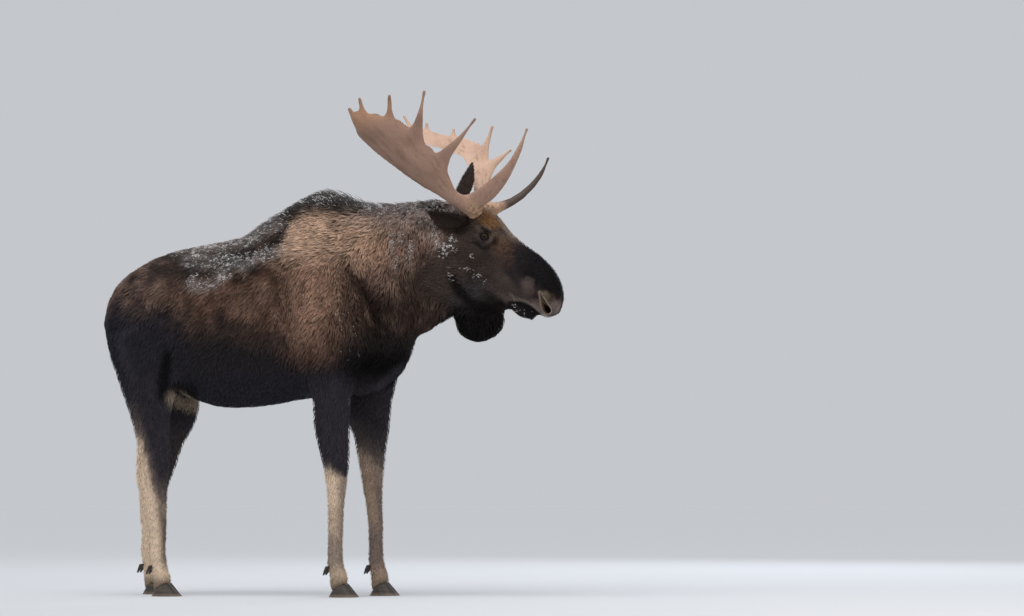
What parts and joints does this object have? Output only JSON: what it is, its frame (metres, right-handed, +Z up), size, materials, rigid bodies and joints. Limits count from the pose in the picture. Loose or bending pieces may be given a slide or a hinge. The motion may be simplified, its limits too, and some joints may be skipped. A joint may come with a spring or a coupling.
{
  "type": "moose",
  "caption": "Standing bull moose, a still life-size animal model with a humped back, long legs, drooping muzzle, throat bell and spread palmate antlers.",
  "frame": {"origin": "on the floor, under the middle of the whole animal's bounding box", "axes": "+X towards the nose, +Y towards the animal's left, +Z up"},
  "size_m": [2.371, 1.0512, 2.4473],
  "materials": {
    "hide_back": "long brown winter coat",
    "hide_face": "short dark coat",
    "hide_leg": "short pale grey-tan coat",
    "horn": "worn dark hoof horn",
    "antler": "dry grooved antler bone",
    "eye": "wet dark brown"
  },
  "bodies": {
    "root": {"foreleg_right": "hide_leg", "foreleg_left": "hide_leg", "hindleg_right": "hide_leg", "hindleg_left": "hide_leg", "trunk": "hide_back", "neck": "hide_back", "head": "hide_face", "bell": "hide_face", "tail": "hide_back", "hoof_foreleg_right_inner": "horn", "hoof_foreleg_right_outer": "horn", "hoof_foreleg_left_inner": "horn", "hoof_foreleg_left_outer": "horn", "hoof_hindleg_right_inner": "horn", "hoof_hindleg_right_outer": "horn", "hoof_hindleg_left_inner": "horn", "hoof_hindleg_left_outer": "horn", "dewclaw_foreleg_right_inner": "horn", "dewclaw_foreleg_right_outer": "horn", "dewclaw_foreleg_left_inner": "horn", "dewclaw_foreleg_left_outer": "horn", "dewclaw_hindleg_right_inner": "horn", "dewclaw_hindleg_right_outer": "horn", "dewclaw_hindleg_left_inner": "horn", "dewclaw_hindleg_left_outer": "horn", "antler_palm_right": "antler", "antler_brow_right": "antler", "ear_right": "hide_face", "eye_right": "eye", "antler_palm_left": "antler", "antler_brow_left": "antler", "ear_left": "hide_face", "eye_left": "eye"}
  },
  "joints": []
}
